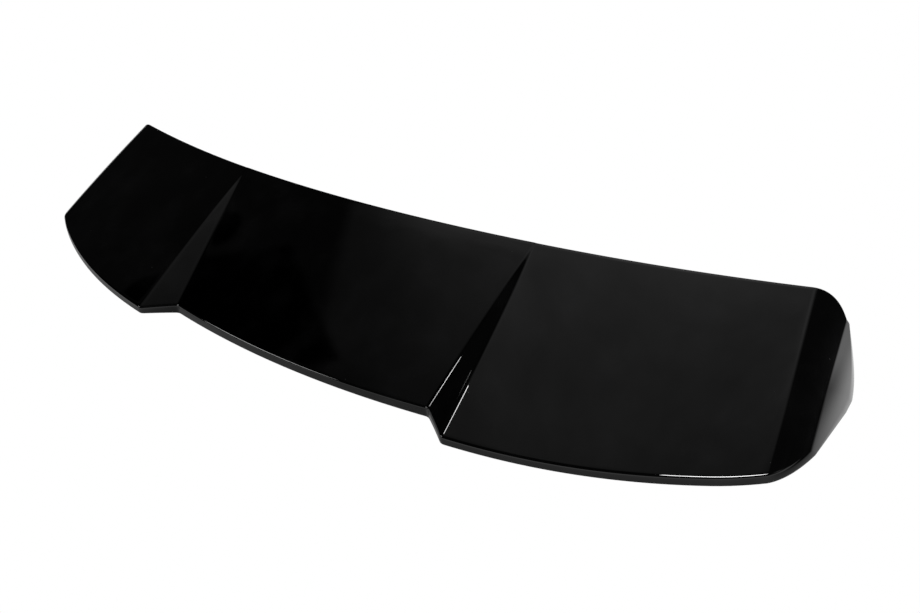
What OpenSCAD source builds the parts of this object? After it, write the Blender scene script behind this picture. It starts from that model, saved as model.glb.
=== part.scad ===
// Rear spoiler for a car roof or tailgate: one moulded shell, open underneath.
// X runs across the car, +Y to its front, Z up. It stands on its lower rim.

/* [Front edge] */
// Width between the front corners
front_w = 1080; // [900:5:1250]
// Lead of the front corners over the middle of the edge
front_bow = 45.7; // [20:0.1:70]
// Fall of the front edge from its middle to the corners
front_drop = 32.3; // [15:0.1:45]
// Angle that the falling front edge turns through
front_turn = 99.5; // [60:0.5:125]

/* [Wings] */
// Width between the rear ends of the tip creases
rear_w = 1160; // [980:5:1330]
// Length of the top at the middle, if the wings met there
wing_l = 231.4; // [200:0.1:270]
// Height of the wings at the middle over the front edge
wing_rise = 13.6; // [6:0.1:22]
// Forward sweep of the rear edge at the tips
tip_sweep = 90.2; // [60:0.1:110]
// How late the sweep sets in
sweep_power = 3.1; // [2.2:0.1:4]
// Fall of the rear edge at the tips
tip_fall = 29; // [15:0.1:40]
// How late the fall sets in
fall_power = 3.6; // [2.2:0.05:4]
// Crown of the top between the front and rear edges
camber = 0.7; // [0:0.1:5]
// Outward bow of the creases between their ends
crease_bow = 1.3; // [0:0.1:4]

/* [Recess] */
// Length of the top at the middle, in the recess
recess_l = 211.7; // [190:0.1:250]
// Half the width of the recess floor at the rear edge
floor_half = 222.8; // [180:0.1:260]
// Half the distance between the points where the recess walls start
apex_half = 246.9; // [236:0.1:275]
// Width of a recess wall at the rear edge, seen from above
wall_w = 43.8; // [25:0.1:60]
// Start of the recess behind the front edge, as a part of the length
recess_start = 0.05; // [0.02:0.01:0.15]
// Forward curve of the floor's rear edge at its ends
floor_bow = 12.6; // [4:0.1:25]
// Fall of the floor's rear edge at its ends
floor_crown = 4.2; // [2:0.1:9]
// Half the width of the fold at each side of a recess wall
fold = 4; // [2:0.1:8]

/* [Tips] */
// Width of the sloping tip at its front end
tip_out = 33.6; // [25:0.1:50]
// Setback of the tip's front corner
tip_back = 13.8; // [5:0.1:25]
// Fall of the sloping tip at its front end
tip_drop = 24; // [15:0.1:30]
// Width of the sloping tip at its rear end, before the heel is rounded
heel_out = 17.9; // [9:0.1:25]
// Distance of the tip's rear corner ahead of the rear edge
heel_ahead = 33.8; // [25:0.1:50]
// Fall of the sloping tip at its rear end
heel_drop = 24.9; // [18:0.1:30]
// Reach of the soft bend from the wing into the tip, at its front end
bend = 23.6; // [10:0.1:28]
// Reach of that bend at its rear end
heel_bend = 15.5; // [8:0.1:20]
// Place across the wing where the rear edge starts to curve round the heel
heel_start = 536.7; // [470:0.1:560]
// Part of the tip's length that this curve takes off at its outer end
heel_cut = 0.052; // [0.01:0.001:0.08]

/* [Rear face and sides] */
// Thickness of the moulding
wall = 3; // [2:0.1:4]
// Radius of the edge round the top
edge_r = 5; // [4.2:0.1:7]
// Depth of the rear face along the wings
face_h = 9.3; // [7.5:0.1:14]
// Depth of the rear face at the ends of the recess floor
floor_face_h = 12; // [9:0.1:16]
// Slant of the rear face against the vertical of the top
face_slant = 36.4; // [20:0.1:50]
// Outward slant of the sides
side_slant = 12.1; // [2:0.1:20]
// Greatest depth of the sides
side_h = 46.5; // [36:0.1:58]
// Place of that depth along the side, as a part of its length
side_peak = 0.5; // [0.35:0.01:0.6]
// Depth of the sides at their front end
side_front_h = 5.5; // [5:0.1:12]
// Depth of the sides at their rear end
side_rear_h = 9.3; // [7.5:0.1:14]
// Depth that the flat at the foot of each side takes off its lowest corner
foot_flat = 2; // [1.6:0.1:3]

/* [Hidden] */
rows = 20;             // along the length
column_steps = [5, 3, 1, 3, 15];
tip_steps = 7;
arc_steps = 4;
face_steps = 2;
side_dir = [sin(side_slant), 0, -cos(side_slant)];
rear_dir = [0, -sin(face_slant), -cos(face_slant)];
apex_gap = 2;          // keeps the columns apart ahead of the apexes

function lerp(a, b, t) = a + (b - a) * t;
function unit(p) = p / norm(p);
function flip(p) = [-p.x, p.y, p.z];
function hump(v) = 4 * v * (1 - v);

// Edges of the top, as points over x
function front_pt(x) = let (q = 2 * x / front_w)
    [x, front_bow * q * q, -front_drop * (1 - cos(front_turn * q)) / (1 - cos(front_turn))];
function rear_pt(x) = let (q = 2 * abs(x) / rear_w)
    [x, tip_sweep * pow(q, sweep_power) - wing_l, wing_rise - tip_fall * pow(q, fall_power)];
function floor_pt(x) = let (q = x / floor_half)
    [x, floor_bow * q * q - recess_l, -floor_crown * q * q];

// Share of the recess depth, along the length and across it
function soft_step(v) = (v - recess_start + norm([v - recess_start, 0.05])) / 2;
function past_apex(v) = max(0, (v - recess_start) / (1 - recess_start));
function valley_x(v) = let (g = past_apex(v)) lerp(apex_half - apex_gap, floor_half, g);
function ridge_x(v) = let (g = past_apex(v))
    lerp(apex_half + apex_gap, floor_half + wall_w, g) + crease_bow * hump(g);
function fold_at(v) = min(fold, 0.3 * (ridge_x(v) - valley_x(v)));
function recess_share(x, v) = let (a = valley_x(v), b = ridge_x(v), f = fold_at(v))
    x <= a - f ? 1 :
    x < a + f ? 1 - pow(x - a + f, 2) / (4 * f * (b - a)) :
    x <= b - f ? (b - x) / (b - a) :
    x < b + f ? pow(b + f - x, 2) / (4 * f * (b - a)) : 0;

// The top at x, with v running from the front edge to the rear one
function top_pt(x, v) = lerp(front_pt(x), rear_pt(x), v) + [0, 0, camber * hump(v)]
    + recess_share(x, v) * soft_step(v) / soft_step(1) * (floor_pt(x) - rear_pt(x));

// The sloping tip, bent out of the wing along a curve over u
function crease_x(v) = lerp(front_w, rear_w, v) / 2 + crease_bow * hump(v);
function crease_pt(v) = top_pt(crease_x(v), v);
function bend_pt(v) = crease_pt(v)
    + lerp(bend, heel_bend, v) * (top_pt(crease_x(v) + 1, v) - top_pt(crease_x(v) - 1, v)) / 2;
tip_front = crease_pt(0) + [tip_out, -tip_back, -tip_drop];
tip_rear = crease_pt(1) + [heel_out, heel_ahead, -heel_drop];
function brink_pt(v) = lerp(tip_front, tip_rear, v);
function tip_pt(u, v) = (1 - u) * (1 - u) * crease_pt(v) + 2 * u * (1 - u) * bend_pt(v)
    + u * u * brink_pt(v);

// Columns over the right half: a zone and a place in it, from the middle outwards
columns = concat(
    [for (z = [0:4]) for (s = [0:column_steps[z] - 1]) [z, s / column_steps[z]]],
    [for (s = [0:tip_steps]) [5, s / tip_steps]]);
n = len(columns) - 1;
function bound_x(z, v) = let (f = fold_at(v))
    [0, valley_x(v) - f, valley_x(v) + f, ridge_x(v) - f, ridge_x(v) + f, crease_x(v)][z];
function column_x(c, v) = lerp(bound_x(c[0], v), bound_x(c[0] + 1, v), c[1]);
function column_pt(c, v) = c[0] == 5 ? tip_pt(c[1], v) : top_pt(column_x(c, v), v);

// Each column ends on the rear edge, which curves forward round the heel
heel_l = norm(tip_rear - crease_pt(1));
function to_heel(c) = (c[0] == 5 ? crease_x(1) + c[1] * heel_l : column_x(c, 1)) - heel_start;
function end_v(c) = 1 - heel_cut * pow(max(0, to_heel(c)) / to_heel([5, 1]), 2);
function half_pt(i, v) = column_pt(columns[i], v * end_v(columns[i]));
function grid_pt(i, j) = i < 0 ? flip(half_pt(-i, j / rows)) : half_pt(i, j / rows);

// The rake lays the flats under the sides and the recess floor's rim on one level
function side_top(v) = half_pt(n, v);
side_foot = side_top(side_peak) + (side_h - foot_flat) * side_dir;
floor_foot = top_pt(floor_half, 1) + floor_face_h * rear_dir;
rake = atan2(floor_foot.z - side_foot.z, side_foot.y - floor_foot.y);
function level(p) = p.z * cos(rake) + p.y * sin(rake);
function to_rest(p, dir) = (level(side_foot) - level(p)) / level(dir);

// Direction and depth of the rear face and the sides under each point of the outline
function drop_dir(c) = c[0] == 5 ? unit(lerp(rear_dir, side_dir, c[1])) : rear_dir;
function side_depth(v) = min(to_rest(side_top(v), side_dir), v < side_peak ?
    lerp(side_front_h, side_h, sin(90 * v / side_peak)) :
    lerp(side_h, side_rear_h, (v - side_peak) / (1 - side_peak)));
function rear_depth(c) = c[0] == 5 ? lerp(face_h, side_depth(1), c[1]) :
    let (v = end_v(c), share = recess_share(column_x(c, v), v), rest = to_rest(column_pt(c, v), rear_dir))
    share == 1 ? rest : min(rest, lerp(face_h, floor_face_h, share));

// The outline runs down the right side, along the rear edge and up the left side
last = 2 * (rows + n);
function outline_ij(k) = k <= rows ? [n, k] : k < rows + 2 * n ? [n + rows - k, rows] : [-n, last - k];
function inner_ij(k) = let (c = outline_ij(k))
    [c[0] - (abs(c[0]) == n ? sign(c[0]) : 0), c[1] - (c[1] == rows ? 1 : 0)];
function outline_pt(k) = let (c = outline_ij(k)) grid_pt(c[0], c[1]);
function outline_dir(k) = let (c = outline_ij(k),
    d = abs(c[0]) == n ? side_dir : drop_dir(columns[abs(c[0])])) c[0] < 0 ? flip(d) : d;
function outline_depth(k) = let (c = outline_ij(k))
    abs(c[0]) == n ? side_depth(c[1] / rows) : rear_depth(columns[abs(c[0])]);

// Rows that turn the top round its edge and down the face
function slerp(a, b, t) = let (w = acos(a * b)) (sin(w * (1 - t)) * a + sin(w * t) * b) / sin(w);
function strip(k) = let (
    p = outline_pt(k), q = inner_ij(k), a = unit(grid_pt(q[0], q[1]) - p),
    b = outline_dir(k), half = acos(a * b) / 2, leg = edge_r / tan(half),
    o = p + edge_r / sin(half) * unit(a + b))
    concat([for (s = [0:arc_steps])
        o + edge_r * slerp(unit(p + leg * a - o), unit(p + leg * b - o), s / arc_steps)],
        [for (s = [1:face_steps]) p + lerp(leg, outline_depth(k), s / face_steps) * b]);
strips = [for (k = [0:last]) strip(k)];
rings = arc_steps + face_steps;

// Outer skin: the points inside the outline, then the strips
inside = (2 * n - 1) * rows;
function ring_id(k, s) = inside + k * (rings + 1) + s;
function id(i, j) = i == n ? ring_id(j, 0) : i == -n ? ring_id(last - j, 0) :
    j == rows ? ring_id(rows + n - i, 0) : (i + n - 1) * rows + j;
outer = concat([for (i = [1 - n:n - 1]) for (j = [0:rows - 1]) grid_pt(i, j)],
    [for (k = [0:last]) each strips[k]]);

// Inner skin: each point moved in by the wall, square to the surface
function grid_normal(i, j) = unit(cross(outer[id(i, j + 1)] - outer[id(i, max(j - 1, 0))],
    outer[id(i + 1, j)] - outer[id(i - 1, j)]));
function ring_normal(k, s) = let (q = inner_ij(k),
    along = strips[min(k + 1, last)][s] - strips[max(k - 1, 0)][s],
    before = s == 0 ? grid_pt(q[0], q[1]) : strips[k][s - 1])
    unit(cross(along, strips[k][min(s + 1, rings)] - before));
normals = concat([for (i = [1 - n:n - 1]) for (j = [0:rows - 1]) grid_normal(i, j)],
    [for (k = [0:last]) for (s = [0:rings]) ring_normal(k, s)]);
function rim_shift(k, s) = s < rings ? [0, 0, 0] : let (v = ring_id(k, s), b = outline_dir(k))
    wall * level(normals[v]) / level(b) * b;
inner = concat([for (v = [0:inside - 1]) outer[v] - wall * normals[v]],
    [for (k = [0:last]) for (s = [0:rings]) let (v = ring_id(k, s))
        outer[v] - wall * normals[v] + rim_shift(k, s)]);

// Front edge, rounded over the full wall from one rim to the other
front_ids = concat([for (s = [rings:-1:0]) [ring_id(last, s), ring_id(last - 1, s)]],
    [for (i = [1 - n:n - 1]) [id(i, 0), id(i, 1)]],
    [for (s = [0:rings]) [ring_id(0, s), ring_id(1, s)]]);
nose = [for (f = front_ids, a = [45:45:135]) let (
    mid = (outer[f[0]] + inner[f[0]]) / 2, up = outer[f[0]] - mid,
    ahead = norm(up) * unit(outer[f[0]] - outer[f[1]]))
    mid + cos(a) * up + sin(a) * ahead];

// The shell, raked onto its rim and centred over the origin
skin_n = len(outer);
function rake_pt(p) = [p.x, p.y * cos(rake) - p.z * sin(rake), level(p)];
raked = [for (p = concat(outer, inner, nose)) rake_pt(p)];
ys = [for (p = raked) p.y];
foot = min([for (p = raked) p.z]);
points = [for (p = raked) p - [0, (max(ys) + min(ys)) / 2, foot]];

// Two triangles of a quad, turned over for the inner skin
function quad(a, b, c, d) = [[a, b, c], [a, c, d]];
function turned(faces) = [for (f = faces) [f[2] + skin_n, f[1] + skin_n, f[0] + skin_n]];
skin_faces = concat(
    [for (i = [-n:n - 1]) for (j = [0:rows - 1])
        each quad(id(i, j), id(i + 1, j), id(i + 1, j + 1), id(i, j + 1))],
    [for (k = [0:last - 1]) for (s = [0:rings - 1])
        each quad(ring_id(k, s), ring_id(k, s + 1), ring_id(k + 1, s + 1), ring_id(k + 1, s))]);
rim_faces = [for (k = [0:last - 1]) let (a = ring_id(k, rings), b = ring_id(k + 1, rings))
    each quad(a, a + skin_n, b + skin_n, b)];
function nose_id(f, r) = r == 0 ? front_ids[f][0] : r == 4 ? front_ids[f][0] + skin_n :
    2 * skin_n + 3 * f + r - 1;
nose_last = len(front_ids) - 1;
nose_faces = [for (f = [0:nose_last - 1]) for (r = [0:3])
    each quad(nose_id(f, r), nose_id(f, r + 1), nose_id(f + 1, r + 1), nose_id(f + 1, r))];
cap_faces = [for (r = [1:3]) each [[nose_id(0, 0), nose_id(0, r + 1), nose_id(0, r)],
    [nose_id(nose_last, 0), nose_id(nose_last, r), nose_id(nose_last, r + 1)]]];

module spoiler_shell() {
    color("dimgray")
        polyhedron(points, concat(skin_faces, turned(skin_faces), rim_faces, nose_faces, cap_faces));
}

spoiler_shell();
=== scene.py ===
import math

import bmesh
import bpy
from mathutils import Matrix, Vector


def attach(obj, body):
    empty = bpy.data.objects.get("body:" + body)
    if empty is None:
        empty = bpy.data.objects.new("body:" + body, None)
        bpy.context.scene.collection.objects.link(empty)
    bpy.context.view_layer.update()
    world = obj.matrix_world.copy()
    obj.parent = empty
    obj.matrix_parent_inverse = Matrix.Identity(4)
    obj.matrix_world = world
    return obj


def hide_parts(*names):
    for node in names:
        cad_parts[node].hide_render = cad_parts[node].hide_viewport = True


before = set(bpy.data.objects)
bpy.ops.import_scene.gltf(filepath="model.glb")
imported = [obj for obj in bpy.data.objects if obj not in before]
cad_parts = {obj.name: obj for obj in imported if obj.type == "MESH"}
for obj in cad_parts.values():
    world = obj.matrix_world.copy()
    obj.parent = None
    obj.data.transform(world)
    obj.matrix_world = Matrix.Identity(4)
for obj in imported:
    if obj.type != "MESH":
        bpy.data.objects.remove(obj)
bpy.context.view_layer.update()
scene = bpy.context.scene
scene.view_settings.view_transform = "Standard"
print("frame loaded")


# camera

cameraSet = {
    "eye": (0.93516, -0.59342, 0.77188),  # metres
    "azimuth": 51.082,   # where it stands, round from -Y
    "elevation": 36.971,
    "roll": -18.686,
    "lens": 43.04,
    "sensor": 36.0,
    "clipEnd": 60.0,
}


def toward(azimuth, elevation):
    az, el = math.radians(azimuth), math.radians(elevation)
    return Vector((math.sin(az) * math.cos(el), -math.cos(az) * math.cos(el), math.sin(el)))


def addCamera(c):
    back = toward(c["azimuth"], c["elevation"])
    roll = Matrix.Rotation(math.radians(c["roll"]), 4, "Z")
    data = bpy.data.cameras.new("camera")
    data.lens = c["lens"]
    data.sensor_width = c["sensor"]
    data.clip_end = c["clipEnd"]
    cam = bpy.data.objects.new("camera", data)
    turn = back.to_track_quat("Z", "Y").to_matrix().to_4x4() @ roll
    cam.matrix_world = Matrix.Translation(c["eye"]) @ turn
    scene.collection.objects.link(cam)
    scene.camera = cam


addCamera(cameraSet)
print("camera set")


# spoiler shell, all lengths in millimetres

shellSet = {
    "frontW": 1080.0, "frontBow": 45.7, "frontDrop": 32.3, "frontTurn": 99.5,
    "rearW": 1160.0, "wingL": 231.4, "wingRise": 13.6, "camber": 0.7, "creaseBow": 1.3,
    "tipSweep": 90.2, "sweepPower": 3.1, "tipFall": 29.0, "fallPower": 3.6,
    "recessL": 211.7, "floorHalf": 222.8, "apexHalf": 246.9, "wallW": 43.8, "recessStart": 0.05,
    "recessSoft": 0.05, "floorBow": 12.6, "floorCrown": 4.2, "fold": 4.0, "foldShare": 0.3, "apexGap": 2.0,
    "tipOut": 33.6, "tipBack": 13.8, "tipDrop": 24.0, "bend": 23.6,
    "heelOut": 17.9, "heelAhead": 33.8, "heelDrop": 24.9, "heelBend": 15.5,
    "heelStart": 536.7, "heelCut": 0.052,
    "wall": 3.0, "faceH": 9.3, "floorFaceH": 12.0, "faceSlant": 36.4, "sideSlant": 12.1,
    "sideH": 46.5, "sidePeak": 0.5, "sideFrontH": 5.5, "sideRearH": 9.3, "footFlat": 2.0,
    "legV": 2.6, "legU": 1.5,  # from the top's edge to the start of its rounding
    "noseR": 1.45, "noseSteps": 4, "rimR": 0.5, "rimSteps": 2,
    "steps": (26, 8, 6, 8, 44, 20), "rows": 84, "arcSteps": 10, "faceSteps": 5,
}

# a column of the top: its zone, counted from the middle outwards, and how far across that zone it is
tipZone = 5
brink = (tipZone, 1.0)


def lerp(a, b, t):
    return a + (b - a) * t


def hump(v):
    return 4.0 * v * (1.0 - v)


def unitOf(v):
    return v / v.length


class Form:
    # points of the outer skin, where x runs across from the middle, v back from the front edge
    # and u over a tip, from its crease to its brink
    def __init__(self, s):
        self.s = s
        a, b = math.radians(s["sideSlant"]), math.radians(s["faceSlant"])
        self.sideDir = Vector((math.sin(a), 0.0, -math.cos(a)))
        self.rearDir = Vector((0.0, -math.sin(b), -math.cos(b)))
        crease = self.creasePt(0.0), self.creasePt(1.0)
        self.tipFront = crease[0] + Vector((s["tipOut"], -s["tipBack"], -s["tipDrop"]))
        self.tipRear = crease[1] + Vector((s["heelOut"], s["heelAhead"], -s["heelDrop"]))
        self.heelL = (self.tipRear - crease[1]).length
        self.heelSpan = self.toHeel(brink)
        sideFoot = self.endPt(brink, s["sidePeak"]) + (s["sideH"] - s["footFlat"]) * self.sideDir
        floorFoot = self.topPt(s["floorHalf"], 1.0) + s["floorFaceH"] * self.rearDir
        self.rake = math.atan2(floorFoot.z - sideFoot.z, sideFoot.y - floorFoot.y)
        self.footLevel = self.level(sideFoot)

    def level(self, p):
        return p.z * math.cos(self.rake) + p.y * math.sin(self.rake)

    def toRest(self, p, d):
        # how far the ground is from p along d, once the spoiler is raked
        return (self.footLevel - self.level(p)) / self.level(d)

    def frontPt(self, x):
        s = self.s
        q = 2.0 * x / s["frontW"]
        turn = math.radians(s["frontTurn"])
        drop = s["frontDrop"] * (1 - math.cos(turn * q)) / (1 - math.cos(turn))
        return Vector((x, s["frontBow"] * q * q, -drop))

    def rearPt(self, x):
        s = self.s
        q = 2.0 * abs(x) / s["rearW"]
        return Vector((x, s["tipSweep"] * q ** s["sweepPower"] - s["wingL"],
                       s["wingRise"] - s["tipFall"] * q ** s["fallPower"]))

    def floorPt(self, x):
        s = self.s
        q = x / s["floorHalf"]
        return Vector((x, s["floorBow"] * q * q - s["recessL"], -s["floorCrown"] * q * q))

    def softStep(self, v):
        d = v - self.s["recessStart"]
        return (d + math.hypot(d, self.s["recessSoft"])) / 2.0

    def folds(self, v):
        s = self.s
        g = max(0.0, (v - s["recessStart"]) / (1.0 - s["recessStart"]))
        valley = lerp(s["apexHalf"] - s["apexGap"], s["floorHalf"], g)
        ridge = lerp(s["apexHalf"] + s["apexGap"], s["floorHalf"] + s["wallW"], g)
        ridge += s["creaseBow"] * hump(g)
        return valley, ridge, min(s["fold"], s["foldShare"] * (ridge - valley))

    def share(self, x, v):
        # 1 on the recessed floor and 0 on the wings, with a soft fold at each end of the wall
        a, b, f = self.folds(v)
        if x <= a - f:
            return 1.0
        if x < a + f:
            return 1.0 - (x - a + f) ** 2 / (4 * f * (b - a))
        if x <= b - f:
            return (b - x) / (b - a)
        if x < b + f:
            return (b + f - x) ** 2 / (4 * f * (b - a))
        return 0.0

    def topPt(self, x, v):
        p = self.frontPt(x).lerp(self.rearPt(x), v) + Vector((0.0, 0.0, self.s["camber"] * hump(v)))
        sunk = self.share(x, v) * self.softStep(v) / self.softStep(1.0)
        return p + sunk * (self.floorPt(x) - self.rearPt(x))

    def creaseX(self, v):
        return lerp(self.s["frontW"], self.s["rearW"], v) / 2.0 + self.s["creaseBow"] * hump(v)

    def creasePt(self, v):
        return self.topPt(self.creaseX(v), v)

    def brinkPt(self, v):
        return self.tipFront.lerp(self.tipRear, v)

    def tipPt(self, u, v):
        x, c = self.creaseX(v), self.creasePt(v)
        slope = (self.topPt(x + 1.0, v) - self.topPt(x - 1.0, v)) / 2.0
        k = c + lerp(self.s["bend"], self.s["heelBend"], v) * slope
        return (1 - u) ** 2 * c + 2 * u * (1 - u) * k + u * u * self.brinkPt(v)

    def columnX(self, c, v):
        a, b, f = self.folds(v)
        edges = (0.0, a - f, a + f, b - f, b + f, self.creaseX(v))
        return lerp(edges[c[0]], edges[c[0] + 1], c[1])

    def columnPt(self, c, v):
        return self.tipPt(c[1], v) if c[0] == tipZone else self.topPt(self.columnX(c, v), v)

    def toHeel(self, c):
        x = self.creaseX(1.0) + c[1] * self.heelL if c[0] == tipZone else self.columnX(c, 1.0)
        return x - self.s["heelStart"]

    def endPt(self, c, v):
        # the rear edge, v = 1, curves forward round the heel
        cut = self.s["heelCut"] * (max(0.0, self.toHeel(c)) / self.heelSpan) ** 2
        return self.columnPt(c, v * (1.0 - cut))

    def sideDepth(self, v):
        s = self.s
        peak = s["sidePeak"]
        if v < peak:
            depth = lerp(s["sideFrontH"], s["sideH"], math.sin(math.pi / 2 * v / peak))
        else:
            depth = lerp(s["sideH"], s["sideRearH"], (v - peak) / (1.0 - peak))
        return min(depth, self.toRest(self.endPt(brink, v), self.sideDir))

    def rearDepth(self, c):
        s = self.s
        if c[0] == tipZone:
            return lerp(s["faceH"], self.sideDepth(1.0), c[1])
        p = self.endPt(c, 1.0)
        rest = self.toRest(p, self.rearDir)
        part = self.share(p.x, 1.0)
        return rest if part == 1.0 else min(rest, lerp(s["faceH"], s["floorFaceH"], part))

    def dropDir(self, c):
        return unitOf(self.rearDir.lerp(self.sideDir, c[1])) if c[0] == tipZone else self.rearDir


def stripRing(p, t, b, depth, s):
    # from t on the top round the edge at p, then down along b
    a = t - p
    leg = a.length
    a = a / leg
    half = a.angle(b) / 2.0
    r = leg * math.tan(half)
    o = p + r / math.sin(half) * unitOf(a + b)
    start, end = unitOf(t - o), unitOf(p + leg * b - o)
    ring = [o + r * start.slerp(end, k / s["arcSteps"]) for k in range(1, s["arcSteps"] + 1)]
    return ring + [p + lerp(leg, depth, k / s["faceSteps"]) * b for k in range(1, s["faceSteps"] + 1)]


def mirrored(p):
    return Vector((-p.x, p.y, p.z))


def layTop(bm, half):
    # a flat grid, moved onto the top's points and their mirror image
    n, m = len(half) - 1, len(half[0]) - 1
    bmesh.ops.create_grid(bm, x_segments=2 * n, y_segments=m, size=1.0)
    at = {}
    for v in bm.verts:
        i = round((v.co.x + 1.0) * n) - n
        j = round((1.0 - v.co.y) * m / 2)
        p = half[abs(i)][j]
        v.co = mirrored(p) if i < 0 else p
        at[i, j] = v
    return at


def edgeRings(form, columns, vs, half):
    # down the right side and along the rear to the middle, then the mirror image of both
    s = form.s
    rings = []
    for v, p in zip(vs[:-1], half[-1]):
        rings.append(stripRing(form.endPt(brink, v), p, form.sideDir, form.sideDepth(v), s))
    for c, line in zip(reversed(columns), reversed(half)):
        rings.append(stripRing(form.endPt(c, 1.0), line[-1], form.dropDir(c), form.rearDepth(c), s))
    return rings + [[mirrored(p) for p in r] for r in rings[-2::-1]]


def hangSides(bm, chain, rings):
    # one strip of faces for each step down the rings, pulled from the strip above it
    ends = []
    for k in range(len(rings[0])):
        edges = [bm.edges.get((a, b)) for a, b in zip(chain, chain[1:])]
        made = bmesh.ops.extrude_edge_only(bm, edges=edges)["geom"]
        new = {g for g in made if isinstance(g, bmesh.types.BMVert)}
        chain = [next(e.other_vert(v) for e in v.link_edges if e.other_vert(v) in new) for v in chain]
        for v, r in zip(chain, rings):
            v.co = r[k]
        ends += [(chain[0], chain[1]), (chain[-1], chain[-2])]
    return chain, ends


def pointOutwards(bm):
    bmesh.ops.recalc_face_normals(bm, faces=bm.faces)
    if sum(f.normal.z * f.calc_area() for f in bm.faces) < 0:
        bmesh.ops.reverse_faces(bm, faces=bm.faces)
    bm.normal_update()


def roundRims(bm, s, outer, ahead):
    noseEdges, rimEdges = [], []
    for f in bm.faces:
        out = [v for v in f.verts if v in outer]
        if 0 < len(out) < len(f.verts):
            group = noseEdges if all(v in ahead for v in out) else rimEdges
            group += [e for e in f.edges if (e.verts[0] in outer) == (e.verts[1] in outer)]
    for edges, radius, steps in ((noseEdges, "noseR", "noseSteps"), (rimEdges, "rimR", "rimSteps")):
        edges = [e for e in edges if e.is_valid]
        bmesh.ops.bevel(bm, geom=edges, affect="EDGES", offset=s[radius], segments=s[steps], profile=0.5,
                        material=-1, clamp_overlap=False)


def buildShell(s):
    form = Form(s)
    columns = [(z, k / s["steps"][z]) for z in range(tipZone) for k in range(s["steps"][z])]
    columns += [(tipZone, k / s["steps"][tipZone]) for k in range(s["steps"][tipZone] + 1)]
    n, m = len(columns) - 1, s["rows"]
    legV = s["legV"] / s["wingL"]   # the grid stops where the edge rounding starts
    legU = s["legU"] / (form.tipFront - form.creasePt(0.0)).length
    cut = [(c[0], c[1] * (1.0 - legU)) if c[0] == tipZone else c for c in columns]
    vs = [k / m * (1.0 - legV) for k in range(m + 1)]
    half = [[form.endPt(c, v) for v in vs] for c in cut]

    bm = bmesh.new()
    inner = bm.verts.layers.float.new("inner")
    at = layTop(bm, half)
    front = [(at[i, 0], at[i, 1]) for i in range(-n, n + 1)]   # each with the vertex behind it
    chain = [at[n, j] for j in range(m)] + [at[i, m] for i in range(n, -n, -1)]
    chain += [at[-n, j] for j in range(m, -1, -1)]
    chain, ends = hangSides(bm, chain, edgeRings(form, cut[:-1] + columns[-1:], vs, half))
    front += ends
    pointOutwards(bm)

    # front edge moved out by the radius that it is rounded to, then the inner skin
    for v, d in [(v, unitOf(v.co - behind.co)) for v, behind in front]:
        v.co += s["wall"] / 2.0 * d
    outer = set(bm.verts)
    bmesh.ops.solidify(bm, geom=list(bm.faces), thickness=s["wall"])
    turn = Matrix.Rotation(form.rake, 3, "X")
    for v in bm.verts:
        v.co = turn @ v.co
        v[inner] = 0.0 if v in outer else 1.0

    # the inner rim ends level with the outer one
    for v in chain:
        for e in v.link_edges:
            other = e.other_vert(v)
            if other not in outer:
                other.co.z = v.co.z
    bm.normal_update()
    roundRims(bm, s, outer, {v for v, behind in front})

    ys = [v.co.y for v in bm.verts]
    foot = Vector((0.0, (max(ys) + min(ys)) / 2.0, min(v.co.z for v in bm.verts)))
    for v in bm.verts:
        v.co = (v.co - foot) / 1000.0
    mesh = bpy.data.meshes.new("spoiler")
    bm.to_mesh(mesh)
    bm.free()
    mesh.shade_smooth()
    return mesh


# gloss black finish, where a noise has its scale and its detail

finishSet = {
    "black": (0.0005, 0.0005, 0.0006, 1.0), "ior": 1.5,
    "gloss": 0.012, "haze": 0.03, "hazeNoise": (9.0, 4.0),   # wiped, slightly cloudy gloss
    "film": (0.009, 0.009, 0.0095, 1.0), "filmNoise": (16.0, 5.0), "filmEdge": (0.44, 0.76),
    "bumpHeight": 0.001,   # metres
    "wave": 0.35, "waveNoise": (7.0, 1.0),      # slow unevenness of the moulding
    "peel": 0.003, "peelNoise": (260.0, 1.0),   # fine orange peel
    "inside": 0.5, "insideEdge": (0.4, 0.9), "grain": 0.12, "grainNoise": (900.0, 2.0),
    "dust": (0.09, 0.09, 0.092, 1.0), "dustScale": 34.0, "dustEdge": (0.0132, 0.022), "dustRough": 0.4,
}


def addNoise(tree, way, scale, detail):
    node = tree.nodes.new("ShaderNodeTexNoise")
    node.inputs["Scale"].default_value = scale
    node.inputs["Detail"].default_value = detail
    tree.links.new(way, node.inputs["Vector"])
    return node.outputs["Fac"]


def addBump(tree, height, strength, distance, normal=None):
    node = tree.nodes.new("ShaderNodeBump")
    node.inputs["Distance"].default_value = distance
    if isinstance(strength, float):
        node.inputs["Strength"].default_value = strength
    else:
        tree.links.new(strength, node.inputs["Strength"])
    tree.links.new(height, node.inputs["Height"])
    if normal:
        tree.links.new(normal, node.inputs["Normal"])
    return node.outputs["Normal"]


def addMath(tree, operation, *inputs):
    node = tree.nodes.new("ShaderNodeMath")
    node.operation = operation
    for socket, value in zip(node.inputs, inputs):
        if isinstance(value, float):
            socket.default_value = value
        else:
            tree.links.new(value, socket)
    return node.outputs[0]


def addRest(tree, value):
    return addMath(tree, "SUBTRACT", 1.0, value)


def addStep(tree, value, low, high):
    node = tree.nodes.new("ShaderNodeMapRange")
    node.interpolation_type = "SMOOTHSTEP"
    node.inputs["From Min"].default_value = low
    node.inputs["From Max"].default_value = high
    tree.links.new(value, node.inputs["Value"])
    return node.outputs["Result"]


def addMix(tree, share, a, b):
    node = tree.nodes.new("ShaderNodeMix")
    node.data_type = "RGBA"
    tree.links.new(share, node.inputs["Factor"])
    for name, value in (("A", a), ("B", b)):
        if isinstance(value, tuple):
            node.inputs[name].default_value = value
        else:
            tree.links.new(value, node.inputs[name])
    return node.outputs["Result"]


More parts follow.
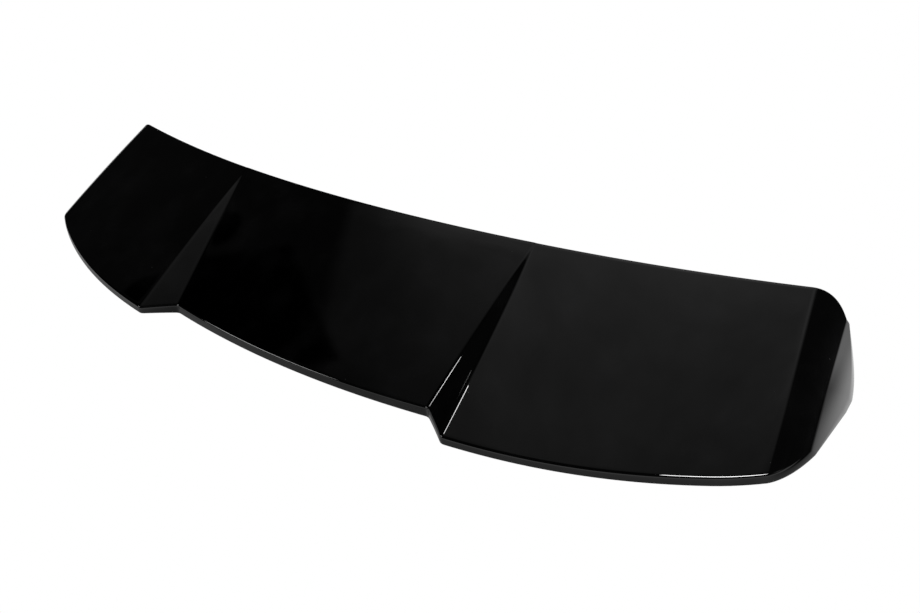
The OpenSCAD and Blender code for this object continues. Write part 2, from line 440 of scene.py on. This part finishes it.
def glossBlack(s):
    mat = bpy.data.materials.new("glossBlack")
    mat.use_nodes = True
    tree = mat.node_tree
    shader = tree.nodes["Principled BSDF"]
    shader.inputs["IOR"].default_value = s["ior"]
    way = tree.nodes.new("ShaderNodeTexCoord").outputs["Object"]
    mark = tree.nodes.new("ShaderNodeAttribute")
    mark.attribute_name = "inner"
    inner = addStep(tree, mark.outputs["Fac"], *s["insideEdge"])
    outer = addRest(tree, inner)

    # gloss outside, matt off the tool inside
    haze = addMath(tree, "MULTIPLY_ADD", addNoise(tree, way, *s["hazeNoise"]), s["haze"], s["gloss"])
    spread = addMath(tree, "SUBTRACT", s["inside"], haze)
    rough = addMath(tree, "MULTIPLY_ADD", inner, spread, haze)

    # a few dust specks over a faint, patchy film
    cell = tree.nodes.new("ShaderNodeTexVoronoi")
    cell.inputs["Scale"].default_value = s["dustScale"]
    tree.links.new(way, cell.inputs["Vector"])
    near = addRest(tree, addStep(tree, cell.outputs["Distance"], *s["dustEdge"]))
    speck = addMath(tree, "MULTIPLY", near, outer)
    film = addStep(tree, addNoise(tree, way, *s["filmNoise"]), *s["filmEdge"])
    colour = addMix(tree, film, s["black"], s["film"])
    tree.links.new(addMix(tree, speck, colour, s["dust"]), shader.inputs["Base Color"])
    tree.links.new(addMath(tree, "MULTIPLY_ADD", speck, s["dustRough"], rough), shader.inputs["Roughness"])

    deep = s["bumpHeight"]
    wave = addBump(tree, addNoise(tree, way, *s["waveNoise"]), s["wave"], deep)
    peel = addBump(tree, addNoise(tree, way, *s["peelNoise"]), s["peel"], deep, wave)
    grainy = addMath(tree, "MULTIPLY", inner, s["grain"])
    grain = addBump(tree, addNoise(tree, way, *s["grainNoise"]), grainy, deep, peel)
    tree.links.new(grain, shader.inputs["Normal"])
    return mat


shell = bpy.data.objects.new("spoilerSkin", buildShell(shellSet))
scene.collection.objects.link(shell)
shell.data.materials.append(glossBlack(finishSet))
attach(shell, "root")
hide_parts("spoiler_shell")
print("shell built", len(shell.data.polygons))


# floor and light, in metres

floorSet = {
    "size": 30.0, "domeGrid": (48, 24), "below": 0.001,
    # painted shadow: the mirrored floor is dark close behind the rear edge
    "white": 1.0, "near": 0.26, "reach": 0.16, "rearY": -0.13, "sweep": 0.09, "halfX": 0.58, "power": 3.1,
    "sides": (0.60, 0.72), "ahead": (0.10, 0.18),
    # painted light: bright beside each side wall
    "paintedLightBeside": 1.9, "besideRise": (0.58, 0.598), "besideFall": (0.598, 0.632), "besideY": (-0.12, 0.15),
    # and painted shade: dark in a wedge ahead of each tip
    "paintedShadeWedge": 0.96, "wedgeLean": 0.2, "wedgeX": (0.606, 0.630), "wedgeSlope": 0.6, "wedgeY": (-0.45, -0.37),
}


def addGlowing(name, bm):
    data = bpy.data.meshes.new(name)
    bm.to_mesh(data)
    bm.free()
    piece = bpy.data.objects.new(name, data)
    scene.collection.objects.link(piece)
    mat = bpy.data.materials.new(name)
    mat.use_nodes = True
    shader = mat.node_tree.nodes["Principled BSDF"]
    shader.inputs["Base Color"].default_value = (0.0, 0.0, 0.0, 1.0)
    shader.inputs["Specular IOR Level"].default_value = 0.0
    shader.inputs["Emission Color"].default_value = (1.0, 1.0, 1.0, 1.0)
    shader.inputs["Emission Strength"].default_value = 1.0
    data.materials.append(mat)
    return piece


def planeAt(size, z):
    bm = bmesh.new()
    bmesh.ops.create_grid(bm, x_segments=1, y_segments=1, size=size / 2.0)
    bmesh.ops.translate(bm, verts=bm.verts, vec=(0.0, 0.0, z))
    return bm


def addFloor(s):
    seen = addGlowing("floor", planeAt(s["size"], 0.0))
    seen.visible_glossy = False

    # white backdrop all round, for the camera only
    bm = bmesh.new()
    around, up = s["domeGrid"]
    bmesh.ops.create_uvsphere(bm, u_segments=around, v_segments=up, radius=s["size"] / 2.0)
    bmesh.ops.reverse_faces(bm, faces=bm.faces)
    backdrop = addGlowing("backdrop", bm)
    backdrop.visible_glossy = backdrop.visible_diffuse = backdrop.visible_shadow = False

    # a second floor that only the gloss mirrors, with painted shadow and painted light in its glow
    glossFloor = addGlowing("floorMirroredPaintedShade", planeAt(s["size"], -s["below"]))
    glossFloor.visible_camera = False
    tree = glossFloor.data.materials[0].node_tree
    parts = tree.nodes.new("ShaderNodeSeparateXYZ")
    tree.links.new(tree.nodes.new("ShaderNodeTexCoord").outputs["Object"], parts.inputs[0])
    side, y = addMath(tree, "ABSOLUTE", parts.outputs["X"]), parts.outputs["Y"]
    # painted shadow: dark close behind the rear edge and under the spoiler, clear at the sides, ahead and
    # further behind
    bow = addMath(tree, "POWER", addMath(tree, "DIVIDE", side, s["halfX"]), s["power"])
    edge = addMath(tree, "MULTIPLY_ADD", bow, s["sweep"], s["rearY"])
    behind = addStep(tree, addMath(tree, "SUBTRACT", edge, y), 0.0, s["reach"])
    clearOfPaintedShadow = addMath(tree, "MAXIMUM", addStep(tree, side, *s["sides"]), addStep(tree, y, *s["ahead"]))
    clearOfPaintedShadow = addMath(tree, "MAXIMUM", clearOfPaintedShadow, behind)
    paintedLightAndShade = addMath(tree, "MULTIPLY_ADD", clearOfPaintedShadow, s["white"] - s["near"], s["near"])
    # painted light: a bright band on the mirrored floor beside each side wall
    rise, fall = addStep(tree, side, *s["besideRise"]), addStep(tree, side, *s["besideFall"])
    band = addMath(tree, "SUBTRACT", rise, fall)
    paintedLightBeside = addMath(tree, "MULTIPLY", band, addStep(tree, y, *s["besideY"]))
    paintedLightAndShade = addMath(tree, "MULTIPLY_ADD", paintedLightBeside, s["paintedLightBeside"], paintedLightAndShade)
    # painted shade: a dark wedge on the mirrored floor ahead of each tip
    outwards = addStep(tree, addMath(tree, "MULTIPLY_ADD", y, -s["wedgeLean"], side), *s["wedgeX"])
    forwards = addStep(tree, addMath(tree, "MULTIPLY_ADD", side, -s["wedgeSlope"], y), *s["wedgeY"])
    paintedShadeWedge = addMath(tree, "MULTIPLY", outwards, forwards)
    paintedLightAndShade = addMath(tree, "MULTIPLY", paintedLightAndShade, addMath(tree, "MULTIPLY_ADD", paintedShadeWedge, -s["paintedShadeWedge"], 1.0))
    tree.links.new(paintedLightAndShade, tree.nodes["Principled BSDF"].inputs["Emission Strength"])


addFloor(floorSet)

roomSet = {
    # in degrees: azimuth round from -Y and elevation of what stands round the spoiler
    "low": 0.018, "under": 0.35, "underEdge": (14.0, 25.0),
    "shelf": 0.073, "shelfEdge": (43.2, 45.0),
    "sky": 0.155, "skyEdge": (44.0, 72.0),
    "glows": ((227.0, 51.0, 42.0, 1.5), (262.0, 48.0, 104.0, 0.9),
              (285.0, 57.0, 60.0, 0.07)),   # direction, tightness, strength
    "rightGlow": (77.0, 43.0, 60.0, 0.65),
    "patchSides": (276.3, 288.5), "patchTop": ((277.0, 40.0), (287.0, 45.1)),
    "spotAt": (273.8, 33.5), "spotWide": (0.9, 1.5), "gapAt": (123.0, 8.0), "gapWide": (18.0, 26.0),
    # as x, y or z of a direction one unit long
    "rearFade": (-0.61, 0.30), "patchSoft": 0.016,
    "strip": 0.2, "stripAt": -0.17, "stripWidth": 0.05, "stripFade": (-0.05, 0.20),
    "right": 0.038, "rightEdge": (-0.14, -0.03),
    "fill": 0.30, "fillFront": (0.25, 0.60), "fillSide": (0.50, 0.80),
    "fillTop": (0.26, 0.46), "fillLow": (0.06, 0.20),
    "cloud": 0.5, "cloudNoise": (22.0, 3.0),
}


def addDot(tree, vector, direction):
    node = tree.nodes.new("ShaderNodeVectorMath")
    node.operation = "DOT_PRODUCT"
    tree.links.new(vector, node.inputs[0])
    node.inputs[1].default_value = direction
    return node.outputs["Value"]


def addGlow(tree, way, glow, light):
    azimuth, elevation, tight, strength = glow
    facing = addMath(tree, "MAXIMUM", addDot(tree, way, toward(azimuth, elevation)), 0.0)
    return addMath(tree, "MULTIPLY_ADD", addMath(tree, "POWER", facing, tight), strength, light)


def addDisc(tree, way, at, wide):
    near, far = [math.cos(math.radians(w)) for w in wide]
    return addStep(tree, addDot(tree, way, toward(*at)), far, near)


def addRoom(s):
    world = bpy.data.worlds.new("room")
    world.use_nodes = True
    scene.world = world
    tree = world.node_tree
    way = tree.nodes.new("ShaderNodeTexCoord").outputs["Generated"]
    parts = tree.nodes.new("ShaderNodeSeparateXYZ")
    tree.links.new(way, parts.inputs[0])
    x, y, z = parts.outputs["X"], parts.outputs["Y"], parts.outputs["Z"]

    def rise(edge):
        return addStep(tree, z, *[math.sin(math.radians(e)) for e in edge])

    fade = addStep(tree, y, *s["rearFade"])
    sky = addMath(tree, "MULTIPLY", fade, s["sky"])
    for glow in s["glows"]:
        sky = addGlow(tree, way, glow, sky)
    off = addMath(tree, "DIVIDE", addMath(tree, "SUBTRACT", x, s["stripAt"]), s["stripWidth"])
    bump = addMath(tree, "EXPONENT", addMath(tree, "MULTIPLY", addMath(tree, "MULTIPLY", off, off), -1.0))
    bump = addMath(tree, "MULTIPLY", bump, addStep(tree, y, *s["stripFade"]))
    sky = addMath(tree, "MULTIPLY_ADD", bump, s["strip"], sky)
    shelf = addMath(tree, "MULTIPLY", addMath(tree, "MULTIPLY", rise(s["shelfEdge"]), fade), s["shelf"])
    under = s["low"] * s["under"]
    low = addMath(tree, "MULTIPLY_ADD", rise(s["underEdge"]), s["low"] - under, under)
    lit = addMath(tree, "ADD", addMath(tree, "MULTIPLY_ADD", rise(s["skyEdge"]), sky, low), shelf)

    # a black corner of the room, bounded by three planes, a black spot and the dark right side
    a, b = [toward(*p) for p in s["patchTop"]]
    first, last = s["patchSides"]
    walls = (toward(first + 90.0, 0.0), toward(last - 90.0, 0.0), unitOf(b.cross(a)))
    soft = s["patchSoft"] / 2.0
    inside = [addStep(tree, addDot(tree, way, w), -soft, soft) for w in walls]
    patch = addMath(tree, "MULTIPLY", addMath(tree, "MULTIPLY", inside[0], inside[1]), inside[2])
    spot = addDisc(tree, way, s["spotAt"], s["spotWide"])
    right = addStep(tree, x, *s["rightEdge"])
    dark = addMath(tree, "MAXIMUM", addMath(tree, "MAXIMUM", patch, spot), right)
    lit = addMath(tree, "MULTIPLY", lit, addRest(tree, dark))
    noise = addNoise(tree, way, *s["cloudNoise"])
    cloud = addMath(tree, "MULTIPLY_ADD", noise, s["cloud"], 1.0 - s["cloud"] / 2.0)
    lit = addMath(tree, "MULTIPLY", lit, cloud)
    lit = addMath(tree, "MULTIPLY_ADD", right, s["right"], lit)

    # low light in front and at the right, with a dark gap that the right tip mirrors
    fill = addMath(tree, "MAXIMUM", addStep(tree, y, *s["fillFront"]), addStep(tree, x, *s["fillSide"]))
    fill = addMath(tree, "MULTIPLY", fill, addRest(tree, addStep(tree, z, *s["fillTop"])))
    fill = addMath(tree, "MAXIMUM", fill, addRest(tree, addStep(tree, z, *s["fillLow"])))
    fill = addMath(tree, "MULTIPLY", fill, addRest(tree, addDisc(tree, way, s["gapAt"], s["gapWide"])))
    lit = addMath(tree, "MULTIPLY_ADD", fill, s["fill"], lit)
    lit = addGlow(tree, way, s["rightGlow"], lit)
    background = tree.nodes["Background"]
    background.inputs["Color"].default_value = (1.0, 1.0, 1.0, 1.0)
    tree.links.new(lit, background.inputs["Strength"])


addRoom(roomSet)

lampSet = {
    # place, aim, direction of the long side, width and height, radiance, and beam in degrees
    "wingLine": {
        "at": (0.558, -0.250, 0.317), "aim": (0.535, -0.067, 0.024), "along": (0.2, 0.05, 0.0),
        "size": (0.205, 0.075), "radiance": 60.0, "beam": 44.0,
    },
    "rearLine": {
        "at": (-1.53, -1.22, 0.83), "aim": (0.0, -0.13, 0.02), "along": (0.58, -0.81, 0.0),
        "size": (0.80, 0.20), "radiance": 9.0, "beam": 50.0,
    },
    "ridgeLine": {
        "at": (0.1125, -0.126, 0.223), "aim": (0.265, -0.11, 0.024),
        "along": (-0.001, -0.068, -0.026), "size": (0.073, 0.012), "radiance": 26.0, "beam": 20.0,
    },
    "valleyLine": {
        "at": (0.005, -0.0785, 0.140), "aim": (0.226, -0.076, 0.025),
        "along": (-0.016, -0.067, -0.042), "size": (0.081, 0.011), "radiance": 26.0, "beam": 9.0,
    },
}


def addLamp(name, s):
    way = unitOf(Vector(s["at"]) - Vector(s["aim"]))
    across = Vector(s["along"])
    across = unitOf(across - across.dot(way) * way)
    data = bpy.data.lights.new(name, "AREA")
    data.shape = "RECTANGLE"
    data.size, data.size_y = s["size"]
    data.spread = math.radians(s["beam"])
    half = data.spread / 2.0
    area = data.size * data.size_y
    data.energy = s["radiance"] * math.pi * area * (1.0 - half / math.tan(half))   # for the beam's width
    lamp = bpy.data.objects.new(name, data)
    turn = Matrix((across, way.cross(across), way)).transposed().to_4x4()
    lamp.matrix_world = Matrix.Translation(s["at"]) @ turn
    lamp.visible_camera = False
    lamp.visible_diffuse = False   # it draws the highlight only
    scene.collection.objects.link(lamp)


for lampName, lampValues in lampSet.items():
    addLamp(lampName, lampValues)
print("stage lit")
